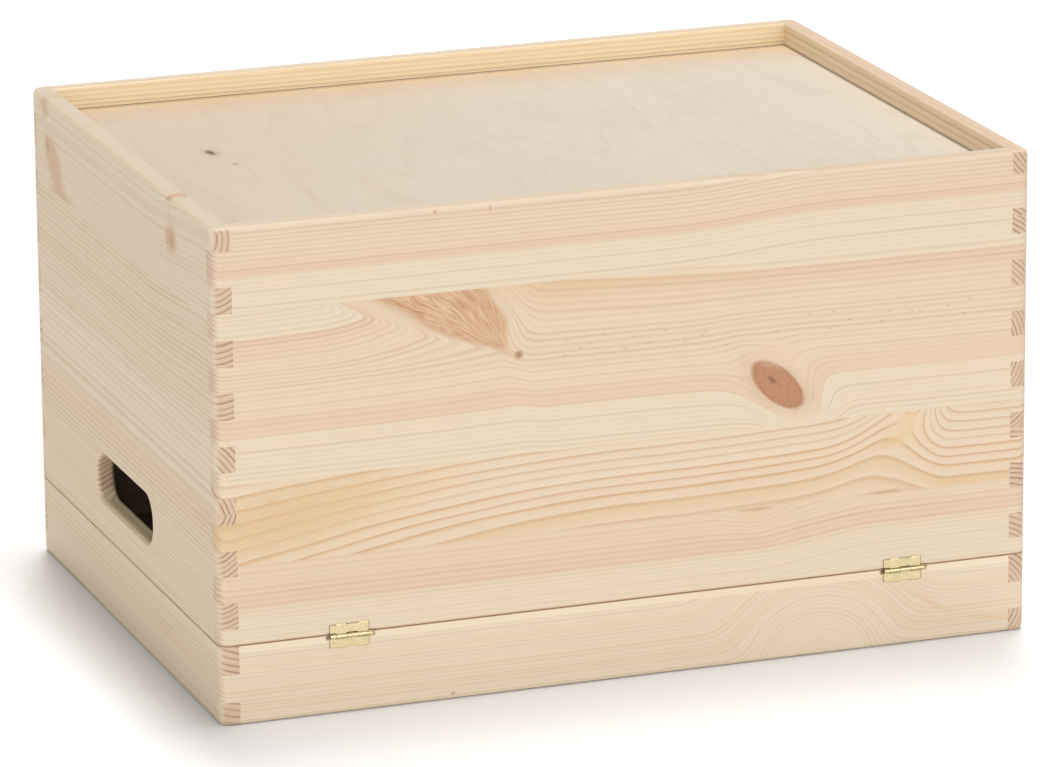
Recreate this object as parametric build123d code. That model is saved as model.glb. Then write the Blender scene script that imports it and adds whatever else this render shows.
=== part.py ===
from build123d import *
import os

# Pine toy box with a shallow hinged lid, all finger-jointed, turned over and standing on its lid.
# Millimetres. +Z is up, the origin is under the middle of the box at the level it stands on, the
# hinges are on the -Y side (the rear in use) and the hand holes are in the -X and +X end boards.

# Outside of the closed box
LENGTH = 400.0
DEPTH = 295.0
HEIGHT = 235.0
BOARD = 9.0
CORNER_RADIUS = 5.0
RIM_ROUND = 2.6
EDGE_SOFTENING = 0.6

# The saw cut between lid (below) and box (above)
SEAM_Z = 38.2
SEAM_GAP = 0.15
BOX_SEAM_BEVEL = 0.5
LID_SEAM_BEVEL = 0.3
LID_TOP = SEAM_Z - SEAM_GAP / 2
BOX_BOTTOM = SEAM_Z + SEAM_GAP / 2

# Plywood panels, each held in a groove a little below its rim
PANEL = 4.0
PANEL_RECESS = 11.0
GROOVE_DEPTH = 4.0
GROOVE_PLAY = 0.2
PANEL_ENTRY = 3.6

# Finger joints, measured from the nearer rim. The end boards have the first finger.
BOX_FIRST_FINGERS = (10.8, 16.6)
BOX_FINGER_PITCH = 12.4
LID_FINGER_EDGES = (11.3, 24.6)

# Glue lines between the staves of each board, measured down from the box's rim
STAVE_JOINTS = {
    "rear": (39.8, 120.3, 159.2),
    "front": (57.0, 98.0, 148.0),
    "left": (44.2, 96.0, 134.0),
    "right": (31.0, 70.0, 134.0),
}

# Hand hole in the last stave of each end board, cut a little nearer the front
HANDLE_LENGTH = 91.0
HANDLE_HEIGHT = 23.6
HANDLE_CORNER = 10.8
HANDLE_ROUND = 2.0
HANDLE_Y = 3.0
HANDLE_Z = 67.1

# Small brass hinges: two leaves of sheet with prongs pressed into the wood, and a round-headed pin
HINGE_X = 137.2
HINGE_Z = 37.5
AXIS_PROUD = 0.4
LEAF_WIDTH = 18.6
KNUCKLE_RADIUS = 1.25
KNUCKLE_EDGES = (0.0, 2.7, 8.1, 13.4, LEAF_WIDTH)
KNUCKLE_GAP = 0.25
PIN_RADIUS = 0.7
PIN_CLEARANCE = 0.05
PIN_HEAD_RADIUS = 1.4
PIN_HEAD_LENGTH = 2.0
PIN_HEAD_DOME = 0.9
LEAF_THICKNESS = 0.8
LEAF_SUNK = 0.4
LEAF_START = 1.5
LEAF_REACH = 5.4
LEAF_SIDE_PLAY = 0.45
TAB_OVERLAP = 0.1
PRONG_BEND = 0.7
PRONG_ROUND = 0.68
PRONG_WIDTH = 4.6
PRONG_LENGTH = 6.4
BARREL_RECESS_RADIUS = 1.7
BARREL_RECESS_END = 1.3

HINGE_Y = -DEPTH / 2 - AXIS_PROUD
HINGE_LENGTH = LEAF_WIDTH + PIN_HEAD_LENGTH
INNER_X = LENGTH / 2 - BOARD
INNER_Y = DEPTH / 2 - BOARD
LONG_SIDES = ("rear", "front")

# Room beyond the wood for the cutting shapes, and the differences in length that count as none
FAR = 20.0
SLIVER = 0.01
LEVEL = 1e-4


def block(x_range, y_range, z_range):
    """A box between two limits on each axis."""
    size = [high - low for low, high in (x_range, y_range, z_range)]
    return Pos(x_range[0], y_range[0], z_range[0]) * Box(*size, align=(Align.MIN,) * 3)


def edges_at(shape, z):
    """The edges that lie wholly at one height."""
    return shape.edges().filter_by_position(Axis.Z, z - LEVEL, z + LEVEL)


def frame_ring(z_low, z_high, rim_z, seam_z, seam_bevel):
    """Four walls in one ring: rounded at the rim, bevelled at the seam, grooved for the panel."""
    outside = Pos(0, 0, z_low) * extrude(RectangleRounded(LENGTH, DEPTH, CORNER_RADIUS), z_high - z_low)
    outside = fillet(edges_at(outside, rim_z), RIM_ROUND)
    outside = chamfer(edges_at(outside, seam_z), seam_bevel)
    inside = block((-INNER_X, INNER_X), (-INNER_Y, INNER_Y), (z_low, z_high))
    inner_flare = [
        edge for z in (rim_z, seam_z) for edge in edges_at(outside - inside, z)
        if abs(edge.center().X) < INNER_X + SLIVER and abs(edge.center().Y) < INNER_Y + SLIVER
    ]
    ring = chamfer(inner_flare, EDGE_SOFTENING)
    return ring - groove(rim_z)


def panel_bottom(rim_z):
    """Height of the underside of the panel that belongs to a rim."""
    return PANEL_RECESS if rim_z == 0 else rim_z - PANEL_RECESS - PANEL


def groove(rim_z):
    """The groove's space, which stops inside the corner joints."""
    reach_x, reach_y = INNER_X + GROOVE_DEPTH, INNER_Y + GROOVE_DEPTH
    low = panel_bottom(rim_z)
    return block((-reach_x, reach_x), (-reach_y, reach_y), (low, low + PANEL + GROOVE_PLAY))


def panel(rim_z):
    """Plywood sheet lying in its groove."""
    half_x, half_y = INNER_X + PANEL_ENTRY, INNER_Y + PANEL_ENTRY
    low = panel_bottom(rim_z)
    return block((-half_x, half_x), (-half_y, half_y), (low, low + PANEL))


def box_finger_bands():
    """Heights of the long boards' fingers on the box, from its rim down to the seam."""
    end_finger, long_finger = BOX_FIRST_FINGERS
    bands = [(HEIGHT - end_finger - long_finger, HEIGHT - end_finger)]
    top = HEIGHT - end_finger - long_finger - BOX_FINGER_PITCH
    while top > BOX_BOTTOM:
        bands.append((max(top - BOX_FINGER_PITCH, BOX_BOTTOM), top))
        top -= 2 * BOX_FINGER_PITCH
    return bands


def gaps_between(bands, low, high):
    """The heights that a list of bands leaves free."""
    edges = [low] + sorted(value for band in bands for value in band) + [high]
    pairs = zip(edges[0::2], edges[1::2])
    return [pair for pair in pairs if pair[1] - pair[0] > SLIVER]


def board_mask(side, fingers, low, high):
    """Space of one board between two heights, with the fingers that fall between them."""
    outer_x, outer_y = LENGTH / 2 + FAR, DEPTH / 2 + FAR
    if side in LONG_SIDES:
        middle = block((-INNER_X, INNER_X), (INNER_Y, outer_y), (low, high))
    else:
        middle = block((INNER_X, outer_x), (-INNER_Y, INNER_Y), (low, high))
    mask = middle
    for band_low, band_high in fingers:
        band = (max(band_low, low), min(band_high, high))
        if band[1] - band[0] < SLIVER:
            continue
        corner = block((INNER_X, outer_x), (INNER_Y, outer_y), band)
        other_end = Plane.YZ if side in LONG_SIDES else Plane.XZ
        mask += [corner, mirror(corner, about=other_end)]
    if side == "rear":
        mask = mirror(mask, about=Plane.XZ)
    if side == "left":
        mask = mirror(mask, about=Plane.YZ)
    return mask


def cut_board(ring, side, long_bands, ring_span, low, high):
    """The piece of a ring that is one stave or one whole lid board. The end boards' fingers fill
    what the long boards' fingers leave free over the ring's height."""
    fingers = long_bands if side in LONG_SIDES else gaps_between(long_bands, *ring_span)
    return ring & board_mask(side, fingers, low, high)


def with_hand_hole(stave, sign):
    """An end stave with the rounded slot that serves as a handle."""
    outline = Plane.YZ * RectangleRounded(HANDLE_LENGTH, HANDLE_HEIGHT, HANDLE_CORNER)
    slot = Pos(sign * (LENGTH - BOARD) / 2, HANDLE_Y, HANDLE_Z) * extrude(outline, BOARD, both=True)
    stave = stave - slot
    half = (HANDLE_LENGTH / 2 + SLIVER, HANDLE_HEIGHT / 2 + SLIVER)
    lips = [
        edge for x in (sign * LENGTH / 2, sign * INNER_X)
        for edge in stave.edges().filter_by_position(Axis.X, x - LEVEL, x + LEVEL)
        if abs(edge.center().Y - HANDLE_Y) < half[0] and abs(edge.center().Z - HANDLE_Z) < half[1]
    ]
    return fillet(lips, HANDLE_ROUND)


def knuckle_span(index):
    """Ends of one knuckle along the hinge, from its left end."""
    start, end = KNUCKLE_EDGES[index], KNUCKLE_EDGES[index + 1]
    gap = KNUCKLE_GAP / 2
    return (start + (gap if index > 0 else 0), end - gap)


def hinge_leaf(centre_x, up, own_knuckles):
    """One leaf: a plate, its knuckles, and two prongs bent into the wood. up is +1 or -1."""
    left = centre_x - HINGE_LENGTH / 2
    back_y = -DEPTH / 2 + LEAF_SUNK
    front_y = back_y - LEAF_THICKNESS
    span = sorted((HINGE_Z + up * LEAF_START, HINGE_Z + up * LEAF_REACH))
    leaf = block((left, left + LEAF_WIDTH), (front_y, back_y), span)
    bore = Pos(0, HINGE_Y, HINGE_Z) * Rot(0, 90, 0) * Cylinder(PIN_RADIUS + PIN_CLEARANCE, 2 * LENGTH)
    for index in own_knuckles:
        start, end = knuckle_span(index)
        middle = left + (start + end) / 2
        tube = Pos(middle, HINGE_Y, HINGE_Z) * Rot(0, 90, 0) * Cylinder(KNUCKLE_RADIUS, end - start)
        root = sorted((HINGE_Z, HINGE_Z + up * (LEAF_START + TAB_OVERLAP)))
        tab = block((left + start, left + end), (front_y, back_y), root)
        leaf += [tube, tab]
    leaf = leaf - bore
    return leaf + [prong(left + sum(KNUCKLE_EDGES[i:i + 2]) / 2, up, front_y) for i in (1, 3)]


def prong(middle_x, up, front_y):
    """A strip that leaves the leaf's far edge and turns square into the wood with a round bend."""
    wide = (middle_x - PRONG_WIDTH / 2, middle_x + PRONG_WIDTH / 2)
    tip_z = HINGE_Z + up * (LEAF_REACH + PRONG_BEND)
    lip_z = HINGE_Z + up * (LEAF_REACH + PRONG_BEND - LEAF_THICKNESS)
    lip = block(wide, (front_y, front_y + LEAF_THICKNESS + PRONG_LENGTH), sorted((lip_z, tip_z)))
    outer = [
        edge for edge in edges_at(lip, tip_z)
        if abs(edge.center().Y - front_y) < SLIVER
    ]
    return fillet(outer, PRONG_ROUND)


def hinge_pin(centre_x):
    """Pin with a round head at its right end."""
    shank = Cylinder(PIN_RADIUS, LEAF_WIDTH, align=(Align.CENTER, Align.CENTER, Align.MIN))
    head = Cylinder(PIN_HEAD_RADIUS, PIN_HEAD_LENGTH, align=(Align.CENTER, Align.CENTER, Align.MIN))
    head = fillet(edges_at(head, PIN_HEAD_LENGTH), PIN_HEAD_DOME)
    body = shank + Pos(0, 0, LEAF_WIDTH) * head
    return Pos(centre_x - HINGE_LENGTH / 2, HINGE_Y, HINGE_Z) * Rot(0, 90, 0) * body


def hinge_recess(centre_x):
    """Wood taken out for the barrel and, shallowly, for both leaves."""
    barrel_length = HINGE_LENGTH + 2 * BARREL_RECESS_END
    barrel = Pos(centre_x, HINGE_Y, HINGE_Z) * Rot(0, 90, 0) * Cylinder(BARREL_RECESS_RADIUS, barrel_length)
    left = centre_x - HINGE_LENGTH / 2
    reach = LEAF_REACH + LEAF_SIDE_PLAY / 2
    bed = block(
        (left - LEAF_SIDE_PLAY, left + LEAF_WIDTH + LEAF_SIDE_PLAY),
        (-DEPTH / 2 - FAR, -DEPTH / 2 + LEAF_SUNK),
        (HINGE_Z - reach, HINGE_Z + reach),
    )
    return [barrel, bed]


def make_hinges():
    """Leaves and pins of both hinges."""
    nodes = {}
    for name, centre_x in (("left", -HINGE_X), ("right", HINGE_X)):
        nodes[f"{name}_hinge_box_leaf"] = hinge_leaf(centre_x, 1, (1, 3))
        nodes[f"{name}_hinge_lid_leaf"] = hinge_leaf(centre_x, -1, (0, 2))
        nodes[f"{name}_hinge_pin"] = hinge_pin(centre_x)
    return nodes


def make_box_staves(ring):
    """Four staves for each of the box's four boards, numbered down from the rim."""
    bands = box_finger_bands()
    nodes = {}
    for side, joints in STAVE_JOINTS.items():
        levels = [HEIGHT] + [HEIGHT - joint for joint in joints] + [BOX_BOTTOM]
        for number, (high, low) in enumerate(zip(levels, levels[1:]), start=1):
            nodes[f"{side}_stave_{number}"] = cut_board(ring, side, bands, (BOX_BOTTOM, HEIGHT), low, high)
    for side, sign in (("left", -1), ("right", 1)):
        nodes[f"{side}_stave_4"] = with_hand_hole(nodes[f"{side}_stave_4"], sign)
    return nodes


def make_lid_boards(ring):
    """The lid's four boards, one stave each."""
    bands = [LID_FINGER_EDGES]
    return {
        f"lid_{side}_board": cut_board(ring, side, bands, (0.0, LID_TOP), 0.0, LID_TOP)
        for side in STAVE_JOINTS
    }


def make_all():
    """Every node of the toy box by name."""
    nodes = make_box_staves(frame_ring(BOX_BOTTOM, HEIGHT, HEIGHT, BOX_BOTTOM, BOX_SEAM_BEVEL))
    nodes.update(make_lid_boards(frame_ring(0.0, LID_TOP, 0.0, LID_TOP, LID_SEAM_BEVEL)))
    nodes["base_panel"] = panel(HEIGHT)
    nodes["lid_panel"] = panel(0)
    hinges = make_hinges()
    for centre_x, side in ((-HINGE_X, "left"), (HINGE_X, "right")):
        leaves = [hinges[f"{side}_hinge_box_leaf"], hinges[f"{side}_hinge_lid_leaf"]]
        for board in ("rear_stave_4", "lid_rear_board"):
            nodes[board] = nodes[board] - hinge_recess(centre_x) - leaves
    nodes.update(hinges)
    return nodes


os.makedirs("parts", exist_ok=True)
for node_name, shape in make_all().items():
    export_step(shape, f"parts/{node_name}.step")
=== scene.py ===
import math

import bpy
from mathutils import Matrix, Vector


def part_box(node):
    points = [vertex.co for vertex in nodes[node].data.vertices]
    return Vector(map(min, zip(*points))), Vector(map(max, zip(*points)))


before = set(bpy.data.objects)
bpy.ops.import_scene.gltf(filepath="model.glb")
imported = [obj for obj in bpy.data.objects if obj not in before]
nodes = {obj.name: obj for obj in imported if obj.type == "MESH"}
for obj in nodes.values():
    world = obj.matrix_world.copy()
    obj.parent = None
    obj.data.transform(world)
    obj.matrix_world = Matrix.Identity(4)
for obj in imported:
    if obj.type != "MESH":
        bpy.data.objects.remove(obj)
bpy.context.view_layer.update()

scene = bpy.context.scene

MM = 0.001

# The heights, in millimetres, between which the saw that parted lid and box has browned the wood
SAW_CUT_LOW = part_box("lid_rear_board")[1][2] / MM - 0.15
SAW_CUT_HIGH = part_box("rear_stave_4")[0][2] / MM + 1.2

# Each side of the box: which way its inner face looks along the axis that goes through it, how far
# the saw has browned it, and how strongly its end grain shows
SIDES = {
    "rear": dict(inward=1.0, saw=0.75, end_grain=0.5),
    "front": dict(inward=-1.0, saw=0.20, end_grain=0.5),
    "left": dict(inward=1.0, saw=0.20, end_grain=0.9),
    "right": dict(inward=-1.0, saw=0.20, end_grain=0.9),
}

# How far the painted light round a hand hole, brighter and warmer wood, reaches from the board's middle,
# in millimetres
HAND_HOLE_REACH = 60.0

# Camera: a long lens from the hinge side, a little to the left of the box and above it. Its place
# and reach are in metres, its lens and sensor in millimetres.
CAMERA_PLACE = Vector((-1.06836, -2.98899, 1.01373))
CAMERA_AZIMUTH = math.radians(-19.711)
CAMERA_ELEVATION = math.radians(16.005)
CAMERA_ROLL = math.radians(-0.482)
CAMERA_LENS = 234.0
CAMERA_SENSOR = 36.0
CAMERA_REACH = 20.0

# Studio: the strength of the white room and of each light, how far each key light leans towards the
# front, how wide the lights are in degrees, and half the floor's width in metres
ROOM_STRENGTH = 0.24
KEY_LEANS = (0.0, 0.20, 0.40)
KEY_STRENGTH = 0.80
KEY_SOFTNESS = 12.0
REAR_FILL_STRENGTH = 1.46
REAR_FILL_SOFTNESS = 60.0
LEFT_FILL_STRENGTH = 0.775
LEFT_FILL_SOFTNESS = 50.0
FLOOR_HALF = 6.0
FLOOR_COLOUR = (0.93, 0.93, 0.93)

# The sheen of bare wood
WOOD_SPECULAR = 0.3

# Colours of pine: cream sapwood and pinkish heartwood, each with its growth lines
SAPWOOD = (0.760, 0.640, 0.478)
SAPWOOD_LINE = (0.650, 0.515, 0.350)
HEARTWOOD = (0.712, 0.481, 0.336)
HEARTWOOD_LINE = (0.590, 0.345, 0.205)

# Tones that pine takes in places, and two painted lights among them, each marked below
PALE_PINK = (0.745, 0.570, 0.418)
PALE_LID = (0.830, 0.705, 0.560)
# Painted highlight: the lid's top edge, under the seam, as if catching the light
LID_EDGE_HIGHLIGHT = (0.860, 0.735, 0.540)
SWIRL = (0.770, 0.580, 0.380)
# Painted reflected light: warm light bounced inside the box, on its inner faces and in the hand holes
BOUNCE_LIGHT_COLOUR = (0.990, 0.820, 0.545)
AMBER = (0.715, 0.490, 0.262)
BOLD_LINE = (0.560, 0.335, 0.172)

# Sawn ends, knots, the branch cut lengthwise, and resin
END_GRAIN = (0.650, 0.480, 0.335)
END_GRAIN_LINE = (0.310, 0.170, 0.100)
KNOT = (0.500, 0.245, 0.138)
KNOT_LINE = (0.300, 0.118, 0.062)
KNOT_CORE = (0.190, 0.085, 0.045)
SOFT_KNOT = (0.600, 0.370, 0.215)
SPIKE_PALE = (0.720, 0.475, 0.295)
SPIKE_DARK = (0.500, 0.265, 0.140)
RESIN = (0.480, 0.260, 0.130)

# The brown that the saw has left on the edges of the seam, painted shade on the top of the rim, and a
# painted contact shadow along the foot of the box
SAW_BROWN = (0.430, 0.225, 0.105)
# Painted shade that darkens the top of the rim, where the key lights fall brightest
RIM_TOP_SHADE = (0.610, 0.520, 0.410)
# Painted contact shadow along the foot of the box
FOOT_CONTACT_SHADOW = (0.230, 0.195, 0.170)

# Colours of birch veneer
BIRCH = (0.640, 0.545, 0.438)
BIRCH_PINK = (0.665, 0.520, 0.400)
BIRCH_PALE = (0.720, 0.640, 0.530)
# Painted reflected light: warm colour bounced onto the base panel near its far end
BIRCH_BOUNCE_LIGHT = (0.620, 0.445, 0.265)
BIRCH_LINE = (0.500, 0.375, 0.262)
BIRCH_KNOT = (0.160, 0.095, 0.055)

# Colours of plated brass
BRASS = (0.790, 0.690, 0.430)
BRASS_DULL = (0.560, 0.460, 0.240)


class Value:
    """A number that varies over a surface. Arithmetic on it adds Math nodes to the material."""

    def __init__(self, tree, socket):
        self.tree = tree
        self.socket = socket

    def _math(self, operation, *others, clamp=False):
        node = self.tree.nodes.new("ShaderNodeMath")
        node.operation = operation
        node.use_clamp = clamp
        for slot, value in zip(node.inputs, (self, *others)):
            if isinstance(value, Value):
                self.tree.links.new(value.socket, slot)
            else:
                slot.default_value = value
        return Value(self.tree, node.outputs[0])

    def __add__(self, other):
        return self._math("ADD", other)

    def __sub__(self, other):
        return self._math("SUBTRACT", other)

    def __mul__(self, other):
        return self._math("MULTIPLY", other)

    def __truediv__(self, other):
        return self._math("DIVIDE", other)

    def __neg__(self):
        return self._math("MULTIPLY", -1.0)

    def power(self, exponent):
        return self._math("POWER", exponent)

    def root(self):
        return self._math("SQRT")

    def exp(self):
        return self._math("EXPONENT")

    def absolute(self):
        return self._math("ABSOLUTE")

    def fraction(self):
        return self._math("FRACT")

    def floor(self):
        return self._math("FLOOR")

    def sine(self):
        return self._math("SINE")

    def at_least(self, other):
        return self._math("MAXIMUM", other)

    def at_most_smoothly(self, other, rounding):
        return self._math("SMOOTH_MIN", other, rounding)

    def angle_from(self, other):
        return self._math("ARCTAN2", other)

    def clamped(self):
        return self._math("ADD", 0.0, clamp=True)

    def step(self, low, high):
        """0 below low, 1 above high, smooth between; low may be above high."""
        node = self.tree.nodes.new("ShaderNodeMapRange")
        node.interpolation_type = "SMOOTHSTEP"
        self.tree.links.new(self.socket, node.inputs["Value"])
        flip = low > high
        node.inputs["From Min"].default_value = min(low, high)
        node.inputs["From Max"].default_value = max(low, high)
        node.inputs["To Min"].default_value = 1.0 if flip else 0.0
        node.inputs["To Max"].default_value = 0.0 if flip else 1.0
        return Value(self.tree, node.outputs["Result"])


def hypotenuse(first, second):
    """The length of a line, from how far it runs in two directions at right angles."""
    return (first.power(2.0) + second.power(2.0)).root()


class Paint:
    """One material: its node tree, the coordinates of the piece, and the noises it needs."""

    def __init__(self, name):
        self.material = bpy.data.materials.new(name)
        self.material.use_nodes = True
        self.tree = self.material.node_tree
        self.tree.nodes.clear()
        self.place = self.node("ShaderNodeTexCoord", {})

    def node(self, kind, inputs, **settings):
        made = self.tree.nodes.new(kind)
        for key, value in settings.items():
            setattr(made, key, value)
        for key, value in inputs.items():
            if isinstance(value, Value):
                self.tree.links.new(value.socket, made.inputs[key])
            elif isinstance(value, bpy.types.NodeSocket):
                self.tree.links.new(value, made.inputs[key])
            else:
                made.inputs[key].default_value = value
        return made

    def value(self, socket):
        return Value(self.tree, socket)

    def split(self, socket):
        """The three parts of a vector."""
        parts = self.node("ShaderNodeSeparateXYZ", {"Vector": socket}).outputs
        return [self.value(part) for part in parts]

    def millimetres(self):
        """Where a point is on the piece, in millimetres of the model's frame."""
        return [part / MM for part in self.split(self.place.outputs["Object"])]

    def vector(self, x, y, z):
        return self.node("ShaderNodeCombineXYZ", {0: x, 1: y, 2: z}).outputs[0]

    def noise(self, x, y, z, detail=2.0, roughness=0.5):
        """Smooth noise about 0, roughly from -0.5 to 0.5."""
        made = self.node(
            "ShaderNodeTexNoise",
            {"Vector": self.vector(x, y, z), "Scale": 1.0, "Detail": detail, "Roughness": roughness},
        )
        return self.value(made.outputs[0]) - 0.5

    def random(self, number):
        """A steady random number from 0 to 1 for each whole number."""
        made = self.node("ShaderNodeTexWhiteNoise", {"W": number}, noise_dimensions="1D")
        return self.value(made.outputs["Value"])

    def nearest_spot(self, x, y):
        """Distance to the nearest of many scattered spots, about one in each unit square."""
        made = self.node(
            "ShaderNodeTexVoronoi",
            {"Vector": self.vector(x, y, 0.0), "Scale": 1.0},
            voronoi_dimensions="2D",
        )
        return self.value(made.outputs["Distance"])

    def mix(self, factor, first, second):
        """Colour that goes from first to second as factor goes from 0 to 1."""
        made = self.node("ShaderNodeMix", {"Factor": factor}, data_type="RGBA")
        for key, colour in ((6, first), (7, second)):
            if isinstance(colour, tuple):
                made.inputs[key].default_value = (*colour, 1.0)
            else:
                self.tree.links.new(colour, made.inputs[key])
        return made.outputs[2]

    def levels(self, number, stops):
        """A number that follows the given (place, level) stops, with smooth steps between."""
        places = [place for place, level in stops]
        low, high = min(places) - 1.0, max(places) + 1.0
        scaled = (number - low) / (high - low)
        ramp = self.node("ShaderNodeValToRGB", {"Fac": scaled})
        ramp.color_ramp.interpolation = "EASE"
        points = ramp.color_ramp.elements
        while len(points) > 1:
            points.remove(points[-1])
        for index, (place, level) in enumerate(sorted(stops)):
            position = (place - low) / (high - low)
            point = points[0] if index == 0 else points.new(position)
            point.position = position
            point.color = (level, level, level, 1.0)
        return self.split(ramp.outputs["Color"])[0]

    def finish(self, colour, roughness, height=None, depth=0.1, **settings):
        """Surface shader. Where height is 1, the surface stands depth millimetres over where it is 0."""
        shader = self.node("ShaderNodeBsdfPrincipled", {"Roughness": roughness})
        if isinstance(colour, tuple):
            shader.inputs["Base Color"].default_value = (*colour, 1.0)
        else:
            self.tree.links.new(colour, shader.inputs["Base Color"])
        for key, value in settings.items():
            shader.inputs[key.replace("_", " ")].default_value = value
        if height is not None:
            bump = self.node("ShaderNodeBump", {"Height": height, "Strength": 1.0, "Distance": depth * MM})
            self.tree.links.new(bump.outputs[0], shader.inputs["Normal"])
        output = self.node("ShaderNodeOutputMaterial", {})
        self.tree.links.new(shader.outputs[0], output.inputs["Surface"])
        return self.material


class Grain:
    """The grain of one board: where each growth line lies, and what stains the wood.

    along runs along the board and up across it, in millimetres. level is the height that a point
    would have if the grain ran straight: bends, swells and knots lift the lines through a point by
    lowering it. stains lists (how much of the stain shows, its colour), lowest layer first; a few of
    them are painted highlights and painted shade, not stains.
    """

    def __init__(self, paint, along, up, level):
        self.paint = paint
        self.along = along
        self.up = up
        self.level = level
        self.stains = []

    def bend(self, start, end, rise, pivot=0.0, stretch=0.0):
        """Lifts the lines, little by little from start and in full from end on.

        The full lift is rise, and stretch times the height over pivot.
        """
        lift = (self.up - pivot).at_least(0.0) * stretch + rise
        self.level = self.level - self.along.step(start, end) * lift

    def swell(self, place, top, reach, fade, rise, lean=0.0):
        """Lifts the lines where they pass a hidden branch, most at height top, less below it.

        lean is how far the branch moves along the board for each millimetre up.
        """
        across = self.along - place - (self.up - top) * lean
        bell = ((self.up - top) / fade - (across / reach).power(2.0)).exp()
        self.level = self.level - bell * rise

    def arch(self, place, stretch, drop, rounding):
        """Turns the lines into nested arches round a branch hidden at place.

        stretch is how much wider than high they are, and drop is how far the lines inside the
        arches have come down.
        """
        across, rise = (self.along - place[0]) / stretch, self.up - place[1]
        self.level = self.level.at_most_smoothly(hypotenuse(across, rise) - drop, rounding)

    def ellipse(self, place, size, turn):
        """A point's place in an ellipse, as (along its axis, across it), 1 on its edge."""
        cosine, sine = math.cos(math.radians(turn)), math.sin(math.radians(turn))
        across, rise = self.along - place[0], self.up - place[1]
        major = (across * cosine + rise * sine) / size[0]
        minor = (rise * cosine - across * sine) / size[1]
        return major, minor

    def knot(self, place, size, turn=0.0, core=0.0, sink=0.0):
        """A round or oval knot, with the grain flowing round it from end to end.

        core is where the knot's own pith lies on its long axis, from -1 to 1, and sink is how far
        the lines around the knot come down to it from their own height.
        """
        major, minor = self.ellipse(place, size, turn)
        distance = hypotenuse(major, minor)

        # The lines part before the knot, close again behind it, and come down to it where they are near
        outside = distance.at_least(1.0)
        near = (-((outside - 1.0) / 1.15).power(2.0)).exp()
        along_axis = major * outside.power(-1.0) * (size[0] * math.sin(math.radians(turn)))
        across_axis = minor * outside.power(-2.2) * (size[1] * math.cos(math.radians(turn)))
        self.level = self.level - across_axis - (along_axis - sink) * near

        # The knot's own rings, mottled, darker at its edge and at its pith
        paint = self.paint
        wobble = paint.noise(self.along / 4.0, self.up / 4.0, place[0], detail=3.0) * 0.14
        mottle = paint.noise(self.along / 1.2, self.up / 1.2, place[0], detail=4.0, roughness=0.7)
        edge = distance + wobble
        from_core = hypotenuse(major - core, minor) + wobble
        rings = (from_core * (size[1] * 3.0) + wobble * 14.0).sine() * 0.5 + 0.5
        shade = rings * 0.16 + edge.step(0.74, 0.98) * 0.34 + mottle * 1.7
        colour = paint.mix(shade.clamped(), KNOT, KNOT_LINE)
        colour = paint.mix(from_core.step(0.26, 0.04) * 0.60, colour, KNOT_CORE)
        self.stains.append((edge.step(1.8, 0.95) * 0.30, HEARTWOOD_LINE))
        self.stains.append((edge.step(1.10, 0.88), colour))

    def pin_knot(self, place, size):
        """A knot a few millimetres wide: a dark centre in a soft tan halo."""
        major, minor = self.ellipse(place, (size, size), 0.0)
        distance = hypotenuse(major, minor)
        self.level = self.level - minor * distance.at_least(1.0).power(-2.5) * size
        self.stains.append((distance.step(1.7, 0.7) * 0.85, RESIN))
        self.stains.append((distance.step(0.80, 0.1) * 0.50, KNOT_CORE))

    def spike(self, tip, left_end, right_end, left_bulge, right_bulge, lift):
        """A branch cut lengthwise: a fibrous wedge from its tip up to the board's edge.

        Each bulge is the height above the tip, the spread and the size of a swelling of that edge.
        The lines rise by lift as they near its left edge, hook back tightly, and fall away in broad
        curves to its right.
        """
        paint = self.paint
        across, rise = self.along - tip[0], self.up - tip[1]
        outside = []
        for end, side, bulge in ((left_end, -1.0, left_bulge), (right_end, 1.0, right_bulge)):
            run, climb = end[0] - tip[0], end[1] - tip[1]
            length = math.hypot(run, climb)
            swollen = (-((rise - bulge[0]) / bulge[1]).power(2.0)).exp() * bulge[2]
            outside.append((across * climb - rise * run) * (side / length) - swollen)
        left, right = outside

        # How the lines of the board meet the branch
        lowest = tip[1] - 3.0
        on_left = right.step(10.0, -6.0)
        self.level = self.level - (-left.at_least(0.0) / 22.0).exp() * on_left * lift
        hooked = self.level.at_most_smoothly(left * 4.0 + lowest, 14.0)
        falling = self.level.at_most_smoothly(right * 1.6 + lowest, 25.0)
        self.level = hooked.at_least(falling)

        # Fibres that fan out from the tip
        angle = across.angle_from(rise)
        reach = hypotenuse(across, rise)
        curl = paint.noise(self.along / 14.0, self.up / 14.0, 5.0, detail=1.0) * 0.16
        streak = paint.noise((angle + curl) * 30.0, reach / 14.0, 0.0, detail=4.0, roughness=0.65)
        hair = paint.noise((angle + curl) * 110.0, reach / 9.0, 3.0, detail=2.0)
        beyond = left.at_least(right) + streak * 7.0 + hair * 3.0
        inside = beyond.step(2.2, -1.8)
        fringe = left.step(3.5, 0.0) * left.step(-7.0, -1.0) * rise.step(-2.0, 3.0)
        shade = streak * 2.0 + hair * 3.0 + fringe * 0.22 + left.step(-5.0, -16.0) * 0.18 + 0.40
        colour = paint.mix(shade.clamped(), SPIKE_PALE, SPIKE_DARK)
        self.stains.append((inside * (streak * 1.2 + 0.88).clamped(), colour))

    def stain(self, place, size, strength, turn=0.0, colour=KNOT, core=0.1):
        """A soft patch of colour with fibrous edges, at full strength inside its core."""
        major, minor = self.ellipse(place, size, turn)
        ragged = self.paint.noise(self.along / 9.0, self.up / 1.5, place[0], detail=3.0)
        distance = hypotenuse(major, minor) + ragged * 0.9
        self.stains.append((distance.step(1.15, core) * strength, colour))

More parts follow.
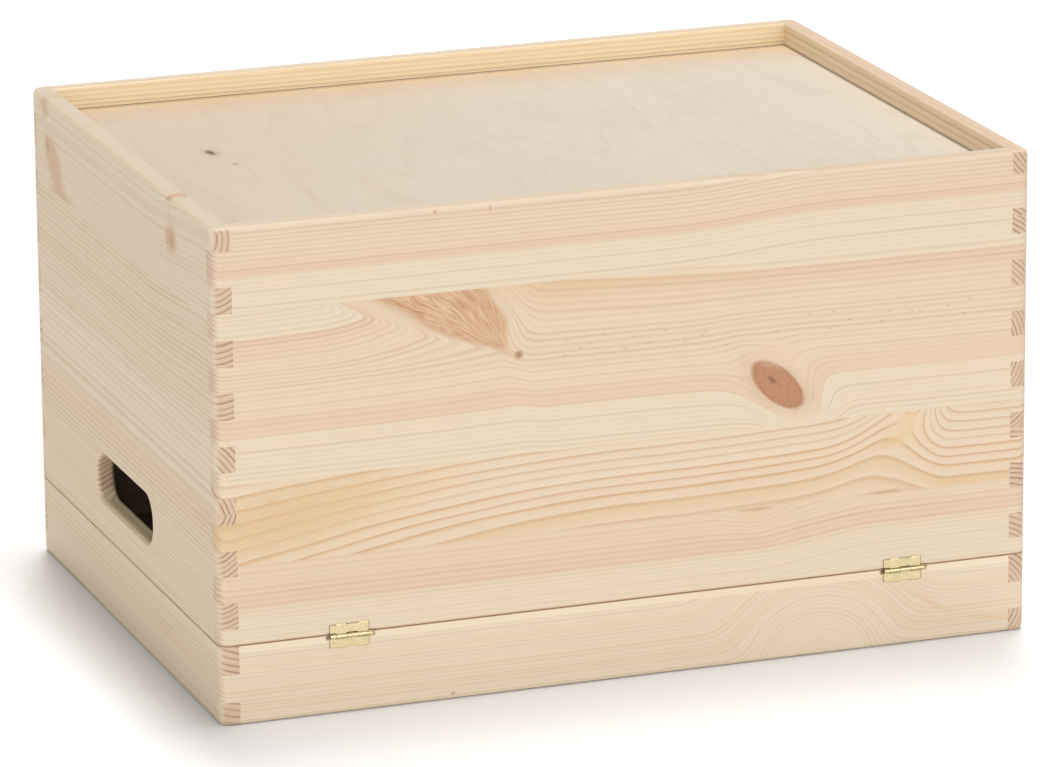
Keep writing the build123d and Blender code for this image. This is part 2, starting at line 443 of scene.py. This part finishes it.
    def strip(self, low, high, strength, colour):
        """A band of another colour along the whole board."""
        band = self.up.step(low - 0.6, low + 0.6) * self.up.step(high + 0.6, high - 0.6)
        self.stains.append((band * strength, colour))

    def line(self, height, width, strength, colour=AMBER):
        """A heavy growth line, which follows the grain from this height."""
        off = ((self.level - height) / width).power(2.0)
        self.stains.append(((-off).exp() * strength, colour))

    def flecks(self, low, high, start, end):
        """Small dashes of resin, scattered over one band of the board."""
        spot = self.paint.nearest_spot(self.along / 15.0, self.up / 6.5)
        band = self.up.step(low, low + 2.0) * self.up.step(high, high - 2.0)
        stretch = self.along.step(start, start + 10.0) * self.along.step(end, end - 10.0)
        self.stains.append((spot.step(0.085, 0.045) * band * stretch * 0.38, RESIN))

    def stained(self, colour):
        """The given colour under all the stains."""
        for mask, stain in self.stains:
            colour = self.paint.mix(mask.clamped(), colour, stain)
        return colour


def straight_grain(paint, along, through, up, seed):
    """Each point's height if no branch bent the grain: a slow wander and a finer ripple."""
    wander = paint.noise(along / 190.0, through / 60.0, up / 50.0 + seed, detail=1.0)
    ripple = paint.noise(along / 42.0, through / 9.0, up / 5.0 + seed, detail=2.0)
    return up + wander * 1.3 + ripple * 0.95


def years_grown(paint, through, level, pith, ring, crowding, seed):
    """How many years after the pith the wood at a point grew: a ring ends at each whole number."""
    radius = hypotenuse(through - pith[0], level - pith[1])
    years = radius / ring + paint.noise(radius / (ring * 4.0), seed, 0.0, detail=1.0) * 1.3
    if crowding:
        height, reach, amount = crowding
        years = years + ((level - height) / reach).sine() * amount
    return years


def fine_lines(paint, growth, strength, ground, line_colour):
    """Slow growth: one thin line at the end of each year. Returns the lines' mask and the colour."""
    late = growth.step(0.25, 0.80) * growth.step(1.0, 0.82)
    return late, paint.mix((late * strength).clamped(), ground, line_colour)


def bold_lines(paint, growth, strength, patchy, ground):
    """Fast growth: amber that deepens through each year to a bold line. Returns the same two."""
    late = growth.step(0.60, 0.92) * growth.step(1.0, 0.95)
    fade = growth.power(1.8) * growth.step(1.0, 0.95)
    colour = paint.mix((fade * (strength * 0.5 + 0.24) * patchy).clamped(), ground, AMBER)
    colour = paint.mix((late * (strength * 0.5 + 0.30) * patchy).clamped(), colour, BOLD_LINE)
    return late, colour


def end_grain(paint, point, growth, strength, pink):
    """Darker wood with open pores, and the rings drawn harder."""
    x, y, z = point
    ring_line = growth.step(0.45, 0.86) * growth.step(1.0, 0.9)
    pores = paint.noise(x / 0.4, y / 0.4, z / 0.4, detail=2.0)
    shade = (ring_line * (strength * 0.5 + 0.5) + pores * 0.3).clamped()
    return paint.mix(pink * 0.15, paint.mix(shade, END_GRAIN, END_GRAIN_LINE), HEARTWOOD_LINE)


def pine(name, side, pith, ring, tone, seed, bold=False, contrast=1.0, crowding=None, inner_bounce_light=0.0,
         painted_hole_light=False, features=()):
    """Solid pine for one stave: growth rings round a pith line, cut by the stave's own faces.

    All lengths are in millimetres. pith is the pith line's place as (through the board, up), because
    it runs along the board, and ring is the width of a year's growth. crowding = (height, reach,
    years) packs the years closer round a height. tone lists (height, pinkness) across the stave.
    features lists what bends or stains the grain, as (name of a Grain method, its settings). bold
    wood grew fast, and contrast strengthens the lines of slow wood. The two arguments before features
    paint light: how much painted reflected light brightens and warms the face that looks into the box,
    and whether painted light brightens and warms the lining of the hand hole.
    """
    paint = Paint(name)
    x, y, z = paint.millimetres()
    normal_x, normal_y, _ = paint.split(paint.place.outputs["Normal"])
    if side in ("rear", "front"):
        along, through, end_normal, face_normal = x, y, normal_x, normal_y
    else:
        along, through, end_normal, face_normal = y, x, normal_y, normal_x

    grain = Grain(paint, along, z, straight_grain(paint, along, through, z, seed))
    for kind, settings in features:
        getattr(grain, kind)(**settings)
    level = grain.level

    years = years_grown(paint, through, level, pith, ring, crowding, seed)
    growth = years.fraction()
    strength = paint.random(years.floor() + seed * 7.0)
    patchy = paint.noise(along / 90.0, through / 20.0, years * 0.7 + seed, detail=2.0) + 1.0

    # Colour bands follow the grain
    blotch = paint.noise(along / 170.0, through / 6.0, level / 5.0 + seed, detail=3.0)
    pink = (paint.levels(level, tone) + blotch * 0.4).clamped()
    ground = paint.mix(pink, SAPWOOD, HEARTWOOD)
    line_colour = paint.mix(pink, SAPWOOD_LINE, HEARTWOOD_LINE)
    # Painted reflected light: the face that looks into the box, and the lining of a hand hole, brighter
    # and warmer
    if inner_bounce_light:
        inward = face_normal * SIDES[side]["inward"]
        ground = paint.mix(inward.step(0.3, 0.8) * inner_bounce_light, ground, BOUNCE_LIGHT_COLOUR)
    if painted_hole_light:
        in_reach = along.absolute().step(HAND_HOLE_REACH, HAND_HOLE_REACH - 5.0)
        ground = paint.mix(face_normal.absolute().step(0.8, 0.3) * in_reach, ground, BOUNCE_LIGHT_COLOUR)

    if bold:
        late, colour = bold_lines(paint, growth, strength, patchy, ground)
    else:
        line_strength = (strength * 0.60 + 0.16) * patchy * contrast
        late, colour = fine_lines(paint, growth, line_strength, ground, line_colour)
    fibre = paint.noise(along / 24.0, through / 0.5, z / 0.5 + seed, detail=3.0, roughness=0.65)
    colour = paint.mix((fibre * 0.70 + 0.04).clamped(), colour, line_colour)

    at_end = end_normal.absolute().step(0.45, 0.92) * SIDES[side]["end_grain"]
    colour = paint.mix(at_end, colour, end_grain(paint, (x, y, z), growth, strength, pink))
    colour = grain.stained(colour)
    sawn = z.step(SAW_CUT_LOW, SAW_CUT_LOW + 0.1) * z.step(SAW_CUT_HIGH, SAW_CUT_HIGH - 1.0)
    colour = paint.mix(sawn * SIDES[side]["saw"], colour, SAW_BROWN)

    return paint.finish(colour, fibre * 0.15 + 0.55, late * 0.3 + fibre * 0.35, depth=0.05,
                        Specular_IOR_Level=WOOD_SPECULAR)


# The knots of the rear side's second stave, and the branch cut lengthwise above them
REAR_BIG_KNOT = dict(place=(73.0, 134.5), size=(16.4, 7.8), turn=-43.0, core=-0.22, sink=10.0)
REAR_PIN_KNOT = dict(place=(-54.4, 162.0), size=1.7)
REAR_SPIKE = dict(tip=(-60.5, 165.0), left_end=(-125.0, 195.5), right_end=(-70.0, 195.5),
                  left_bulge=(11.0, 9.0, 3.6), right_bulge=(14.0, 10.0, 4.0), lift=6.0)

# How each stave grew, and what marks it. Heights are above the ground, in millimetres, and places
# are (along the board, up).
GROWTH = {
    "rear_stave_1": dict(
        pith=(-110.0, 90.0), ring=2.05, seed=1.0,
        tone=((235, 0.28), (224, 0.24), (218, 0.36), (214, 0.62), (212.2, 0.6), (211, 0.02), (195, 0.0)),
        features=(("bend", dict(start=20.0, end=105.0, rise=4.6)),
                  # painted shade on the top of the rim
                  ("strip", dict(low=234.3, high=240.0, strength=0.35, colour=RIM_TOP_SHADE)),
                  ("stain", dict(place=(-94.0, 233.4), size=(1.2, 1.2), strength=0.8)),
                  ("stain", dict(place=(-67.6, 232.4), size=(0.6, 2.0), strength=0.6)))),
    "rear_stave_2": dict(
        pith=(-95.0, 20.0), ring=2.5, seed=2.0, crowding=(125.0, 25.0, 1.4),
        tone=((196, 0.0), (190.5, 0.05), (188.8, 0.6), (180, 0.34), (168, 0.26), (152, 0.22), (146, 0.32),
              (141, 0.55), (137, 0.5), (135.6, 0.02), (114, 0.0)),
        features=(("bend", dict(start=-80.0, end=-150.0, rise=0.0, pivot=158.0, stretch=-0.5)),
                  ("bend", dict(start=70.0, end=-50.0, rise=0.0, pivot=165.0, stretch=0.2)),
                  ("stain", dict(place=(84.0, 119.5), size=(19.0, 8.0), turn=-12.0, strength=0.85,
                                 colour=SAPWOOD)),
                  ("knot", REAR_BIG_KNOT), ("pin_knot", REAR_PIN_KNOT), ("spike", REAR_SPIKE),
                  ("stain", dict(place=(5.0, 191.5), size=(75.0, 3.6), turn=-2.0, strength=0.35,
                                 colour=AMBER)),
                  ("stain", dict(place=(94.0, 120.0), size=(4.0, 3.0), turn=50.0, strength=0.3,
                                 colour=AMBER)),
                  ("stain", dict(place=(165.0, 141.0), size=(85.0, 9.0), strength=0.6, colour=PALE_PINK)),
                  ("stain", dict(place=(74.0, 149.0), size=(19.0, 7.0), turn=-10.0, strength=0.8,
                                 colour=PALE_PINK)),
                  ("stain", dict(place=(-38.0, 191.0), size=(42.0, 8.0), turn=-6.0, strength=0.35,
                                 colour=AMBER)),
                  ("flecks", dict(low=155.0, high=168.5, start=-45.0, end=192.0)))),
    "rear_stave_3": dict(
        pith=(-122.0, 64.0), ring=3.6, seed=3.0, bold=True,
        tone=((115, 0.12), (100, 0.14), (90, 0.20), (76, 0.34)),
        features=(("bend", dict(start=0.0, end=-260.0, rise=-29.1, pivot=70.0, stretch=0.42)),
                  ("bend", dict(start=10.0, end=130.0, rise=2.6)),
                  ("bend", dict(start=132.0, end=160.0, rise=-7.0)),
                  ("swell", dict(place=135.0, top=114.7, reach=18.0, fade=30.0, rise=14.0, lean=0.55)),
                  ("swell", dict(place=146.0, top=114.7, reach=9.0, fade=9.0, rise=11.0)),
                  ("stain", dict(place=(138.0, 108.0), size=(9.5, 14.0), turn=-20.0, strength=0.95,
                                 colour=SWIRL)),
                  ("stain", dict(place=(130.0, 101.0), size=(13.0, 4.0), turn=12.0, strength=0.5,
                                 colour=AMBER)),
                  ("line", dict(height=81.8, width=2.4, strength=0.40)),
                  ("stain", dict(place=(128.0, 76.4), size=(15.0, 1.5), strength=0.7, colour=BOLD_LINE)),
                  ("stain", dict(place=(172.0, 77.5), size=(26.0, 2.4), strength=0.6, colour=AMBER)),
                  ("stain", dict(place=(-165.0, 96.0), size=(90.0, 21.0), turn=9.0, strength=0.70,
                                 colour=AMBER)),
                  ("stain", dict(place=(-172.0, 98.0), size=(60.0, 18.0), turn=9.0, strength=0.13,
                                 colour=BOLD_LINE)))),
    "rear_stave_4": dict(
        pith=(-120.0, -60.0), ring=2.55, seed=4.0, contrast=0.75, crowding=(46.0, 12.0, 0.9),
        tone=((76, 0.34), (66, 0.36), (60, 0.48), (56, 0.52), (54.2, 0.05), (38, 0.0)),
        features=(("bend", dict(start=62.0, end=125.0, rise=6.0)),
                  ("swell", dict(place=62.0, top=75.8, reach=13.0, fade=7.0, rise=-9.0)),
                  ("stain", dict(place=(62.0, 76.2), size=(11.0, 2.2), strength=0.85)),
                  ("stain", dict(place=(62.0, 73.0), size=(14.0, 5.0), strength=0.25, colour=AMBER)))),
    "lid_rear_board": dict(
        pith=(-125.0, -190.0), ring=2.0, seed=5.0, contrast=1.35,
        tone=((38, 0.0), (34, 0.02), (32, 0.18), (18, 0.20), (12, 0.16), (0, 0.12), (-30, 0.10)),
        features=(("arch", dict(place=(94.0, -2.0), stretch=1.16, drop=29.0, rounding=16.0)),
                  ("line", dict(height=27.0, width=0.9, strength=0.40)),
                  ("line", dict(height=15.6, width=0.8, strength=0.45)),
                  ("line", dict(height=8.5, width=1.2, strength=0.35)),
                  # painted contact shadow along the foot of the lid
                  ("strip", dict(low=-3.0, high=0.7, strength=0.55, colour=FOOT_CONTACT_SHADOW)),
                  ("strip", dict(low=0.0, high=34.6, strength=0.30, colour=PALE_LID)),
                  # painted highlight along the lid's top edge, under the seam
                  ("strip", dict(low=34.6, high=38.2, strength=0.75, colour=LID_EDGE_HIGHLIGHT)),
                  # painted shadow: a dark spot at the left end of each hinge barrel
                  ("stain", dict(place=(-148.6, 37.0), size=(1.6, 1.5), strength=0.9, colour=KNOT_CORE)),
                  ("stain", dict(place=(126.0, 37.0), size=(1.6, 1.5), strength=0.9, colour=KNOT_CORE)),
                  ("stain", dict(place=(-88.0, 3.0), size=(1.6, 1.0), strength=0.8)),
                  ("stain", dict(place=(150.0, 20.0), size=(22.0, 2.2), turn=-33.0, strength=0.4,
                                 colour=AMBER)),
                  ("stain", dict(place=(185.0, 8.0), size=(22.0, 1.6), turn=-8.0, strength=0.4,
                                 colour=AMBER)))),
    "left_stave_1": dict(
        pith=(-206.0, 222.0), ring=2.3, seed=6.0, contrast=1.2,
        tone=((235, 0.08), (223, 0.10), (217, 0.22), (210, 0.14), (191, 0.12)),
        features=(("bend", dict(start=-40.0, end=-150.0, rise=4.0, pivot=190.0, stretch=0.1)),
                  # painted shade on the top of the rim
                  ("strip", dict(low=234.3, high=240.0, strength=0.5, colour=RIM_TOP_SHADE)),
                  ("stain", dict(place=(-82.0, 235.0), size=(5.4, 3.0), strength=0.75, colour=SOFT_KNOT)),
                  ("stain", dict(place=(-80.0, 233.6), size=(3.4, 1.4), turn=-20.0, strength=0.6,
                                 colour=RESIN)),
                  ("stain", dict(place=(-84.0, 215.0), size=(10.0, 8.0), strength=0.85, colour=SOFT_KNOT,
                                 core=0.4)),
                  ("stain", dict(place=(-85.0, 214.5), size=(5.0, 4.0), strength=0.6)),
                  ("stain", dict(place=(-83.0, 225.0), size=(2.2, 8.0), strength=0.3, colour=SOFT_KNOT)),
                  ("stain", dict(place=(109.0, 204.0), size=(21.0, 12.0), turn=40.0, strength=0.72,
                                 colour=SOFT_KNOT, core=0.4)),
                  ("stain", dict(place=(98.0, 191.0), size=(26.0, 5.0), strength=0.60, colour=SOFT_KNOT,
                                 core=0.3)),
                  ("stain", dict(place=(120.0, 213.0), size=(6.0, 4.5), turn=45.0, strength=0.6)),
                  ("stain", dict(place=(124.0, 230.5), size=(8.0, 6.0), strength=0.65, colour=SOFT_KNOT,
                                 core=0.3)))),
    "left_stave_2": dict(
        pith=(-216.0, 262.0), ring=2.7, seed=7.0, contrast=1.35,
        tone=((191, 0.2), (182, 0.26), (165, 0.3), (139, 0.16)),
        features=(("bend", dict(start=-40.0, end=-150.0, rise=3.0, pivot=150.0, stretch=0.08)),)),
    "left_stave_3": dict(
        pith=(-246.0, 84.0), ring=2.4, seed=8.0, contrast=1.2,
        tone=((139, 0.06), (120, 0.05), (101, 0.12))),
    "left_stave_4": dict(
        pith=(-216.0, 108.0), ring=2.2, seed=9.0, contrast=1.3, painted_hole_light=True,
        tone=((101, 0.5), (92, 0.42), (84, 0.25), (60, 0.18), (38, 0.24))),
    "lid_left_board": dict(
        pith=(-176.0, 95.0), ring=3.0, seed=10.0,
        tone=((38, 0.24), (24, 0.26), (10, 0.14), (0, 0.10)),
        # painted contact shadow along the foot of the lid
        features=(("strip", dict(low=-3.0, high=0.7, strength=0.55, colour=FOOT_CONTACT_SHADOW)),)),
    "front_stave_1": dict(
        pith=(100.0, 110.0), ring=2.4, seed=11.0, inner_bounce_light=0.95,
        tone=((235, 0.1), (210, 0.2), (178, 0.45))),
    "front_stave_2": dict(
        pith=(188.0, 90.0), ring=2.6, seed=12.0,
        tone=((178, 0.1), (160, 0.15), (150, 0.5), (137, 0.45)),
        features=(("knot", dict(place=(-96.0, 156.0), size=(8.5, 6.0), turn=15.0)),
                  ("knot", dict(place=(131.0, 164.0), size=(2.2, 2.0))))),
    "front_stave_3": dict(
        pith=(120.0, 62.0), ring=3.8, seed=13.0, bold=True,
        tone=((137, 0.25), (110, 0.15), (87, 0.35)),
        features=(("bend", dict(start=-20.0, end=240.0, rise=-22.0, pivot=80.0, stretch=0.25)),
                  ("swell", dict(place=-60.0, top=137.0, reach=24.0, fade=18.0, rise=12.0)))),
    "front_stave_4": dict(
        pith=(112.0, 150.0), ring=2.2, seed=14.0,
        tone=((87, 0.1), (70, 0.2), (60, 0.6), (54, 0.5), (52, 0.05), (38, 0.0)),
        features=(("knot", dict(place=(34.0, 66.0), size=(9.5, 6.5), turn=-30.0, core=0.2)),)),
    "lid_front_board": dict(
        pith=(118.0, -50.0), ring=2.5, seed=15.0,
        tone=((38, 0.4), (22, 0.15), (0, 0.3)),
        features=(("swell", dict(place=-110.0, top=20.0, reach=46.0, fade=90.0, rise=17.0)),)),
    "right_stave_1": dict(
        pith=(236.0, 262.0), ring=2.3, seed=16.0, inner_bounce_light=0.60,
        tone=((235, 0.45), (222, 0.5), (204, 0.3))),
    "right_stave_2": dict(
        pith=(150.0, 130.0), ring=2.4, seed=17.0,
        tone=((204, 0.1), (180, 0.05), (165, 0.3))),
    "right_stave_3": dict(
        pith=(168.0, 140.0), ring=2.1, seed=18.0,
        tone=((165, 0.35), (140, 0.2), (120, 0.1), (101, 0.3)),
        features=(("knot", dict(place=(-58.0, 118.0), size=(10.0, 7.0), turn=20.0, core=-0.2)),)),
    "right_stave_4": dict(
        pith=(184.0, 30.0), ring=2.6, seed=19.0, painted_hole_light=True,
        tone=((101, 0.1), (80, 0.3), (50, 0.1), (38, 0.4))),
    "lid_right_board": dict(
        pith=(178.0, 15.0), ring=2.4, seed=20.0,
        tone=((38, 0.3), (15, 0.1), (0, 0.3))),
}


def side_of(name):
    """The side of the box that a board or stave is on, from its name."""
    return next(side for side in SIDES if side in name)


def birch_plywood(name, seed, knots_and_warm_bounce):
    """Rotary-cut birch veneer: pale, with faint flame contours along its grain.

    seed tells one sheet's figure from another's; the other flag gives a sheet pin knots and painted warm
    reflected light near its far edge. Painted light also makes every sheet paler towards +x.
    """
    paint = Paint(name)
    x, y, z = paint.millimetres()
    contour = (paint.noise(x / 60.0, y / 300.0, seed, detail=1.5) * 8.0
               + paint.noise(x / 9.0, y / 90.0, seed + 4.0) * 0.4)
    wave = contour.fraction()
    line = wave.step(0.70, 0.96) * wave.step(1.0, 0.96)
    streak = paint.noise(x / 1.8 + y / 60.0, y / 26.0, z / 2.0, detail=3.0, roughness=0.6)
    fibre = paint.noise(x / 0.45, y / 12.0, z / 0.45, detail=3.0, roughness=0.6)
    cloud = paint.noise(x / 70.0, y / 120.0, seed + 3.0, detail=2.0)
    # Painted light: paler towards +x, with a random cloud of the veneer's own tone
    ground = paint.mix((x / 420.0 + 0.45 + cloud * 0.8).clamped(), BIRCH, BIRCH_PALE)
    pinkness = ((y - x) / 330.0 + cloud * 1.2 - 0.1).clamped()
    ground = paint.mix(pinkness * 0.7, ground, BIRCH_PINK)
    # Painted reflected light: warm colour bounced from the box's far inner face, near the far end
    if knots_and_warm_bounce:
        ground = paint.mix(y.step(92.0, 139.0) * (cloud + 0.72).clamped(), ground, BIRCH_BOUNCE_LIGHT)
    colour = paint.mix(line * (cloud + 0.55).clamped() * 0.20, ground, BIRCH_LINE)
    colour = paint.mix((streak * 0.6 + 0.03).clamped(), colour, BIRCH_LINE)
    colour = paint.mix((fibre * 0.45).clamped(), colour, BIRCH_LINE)
    if knots_and_warm_bounce:
        marks = Grain(paint, x, y, y)
        marks.stain(place=(-145.0, 31.0), size=(6.0, 12.0), strength=0.22, colour=BIRCH_KNOT)
        marks.stain(place=(-145.0, 31.0), size=(2.7, 6.6), strength=1.0, colour=BIRCH_KNOT)
        marks.stain(place=(-140.5, 6.0), size=(2.4, 3.6), strength=0.45, colour=BIRCH_KNOT)
        colour = marks.stained(colour)
    return paint.finish(colour, fibre * 0.1 + 0.55, fibre, depth=0.03, Specular_IOR_Level=WOOD_SPECULAR)


def brass(name):
    """Plated brass, slightly grainy and dull."""
    paint = Paint(name)
    x, y, z = paint.millimetres()
    grit = paint.noise(x / 0.9, y / 0.9, z / 0.9, detail=3.0)
    tarnish = paint.noise(x / 4.0, y / 4.0, z / 4.0, detail=3.0)
    colour = paint.mix((tarnish + grit * 0.8 + 0.45).clamped(), BRASS, BRASS_DULL)
    return paint.finish(colour, grit * 0.2 + 0.22, grit, depth=0.02, Metallic=1.0)


def dress_nodes():
    """Gives every CAD node its material."""
    for name, obj in nodes.items():
        if name in GROWTH:
            material = pine(name, side_of(name), **GROWTH[name])
        elif name == "base_panel":
            material = birch_plywood(name, seed=0.0, knots_and_warm_bounce=True)
        elif name == "lid_panel":
            material = birch_plywood(name, seed=20.0, knots_and_warm_bounce=False)
        else:
            material = brass(name)
        obj.data.materials.clear()
        obj.data.materials.append(material)


def add_floor():
    """Plain pale floor, wide enough to fill every view."""
    half = FLOOR_HALF
    mesh = bpy.data.meshes.new("floor")
    corners = [(-half, -half, 0), (half, -half, 0), (half, half, 0), (-half, half, 0)]
    mesh.from_pydata(corners, [], [(0, 1, 2, 3)])
    floor = bpy.data.objects.new("floor", mesh)
    scene.collection.objects.link(floor)
    paint = Paint("floor")
    mesh.materials.append(paint.finish(FLOOR_COLOUR, 0.9, Specular_IOR_Level=0.0))


def add_sun(name, towards, strength, softness):
    """Soft white light from a direction; softness is the angle that it spreads over, in degrees."""
    light = bpy.data.lights.new(name, "SUN")
    light.energy = strength
    light.angle = math.radians(softness)
    obj = bpy.data.objects.new(name, light)
    obj.rotation_euler = Vector(towards).to_track_quat("Z", "Y").to_euler()
    scene.collection.objects.link(obj)


def add_lights():
    """A row of high key lights, and wide fills on the two sides that the camera sees, in a dim room."""
    world = bpy.data.worlds.new("studio")
    world.use_nodes = True
    background = world.node_tree.nodes["Background"]
    background.inputs["Color"].default_value = (1.0, 1.0, 1.0, 1.0)
    background.inputs["Strength"].default_value = ROOM_STRENGTH
    scene.world = world
    for number, lean in enumerate(KEY_LEANS, start=1):
        add_sun(f"key_{number}", (0.12, lean, 1.0), KEY_STRENGTH, KEY_SOFTNESS)
    add_sun("rear_fill", (0.10, -0.93, 0.35), REAR_FILL_STRENGTH, REAR_FILL_SOFTNESS)
    add_sun("left_fill", (-0.95, -0.25, 0.17), LEFT_FILL_STRENGTH, LEFT_FILL_SOFTNESS)


def add_camera():
    """Camera turned by azimuth and elevation, then rolled a little."""
    back = Vector((
        math.sin(CAMERA_AZIMUTH) * math.cos(CAMERA_ELEVATION),
        -math.cos(CAMERA_AZIMUTH) * math.cos(CAMERA_ELEVATION),
        math.sin(CAMERA_ELEVATION),
    ))
    right = Vector((0, 0, 1)).cross(back).normalized()
    up = back.cross(right)
    facing = Matrix((right, up, back)).transposed().to_4x4()
    camera = bpy.data.cameras.new("camera")
    camera.lens = CAMERA_LENS
    camera.sensor_width = CAMERA_SENSOR
    camera.clip_end = CAMERA_REACH
    obj = bpy.data.objects.new("camera", camera)
    obj.matrix_world = Matrix.Translation(CAMERA_PLACE) @ facing @ Matrix.Rotation(CAMERA_ROLL, 4, "Z")
    scene.collection.objects.link(obj)
    scene.camera = obj


add_camera()
add_lights()
add_floor()
dress_nodes()
scene.view_settings.view_transform = "Standard"
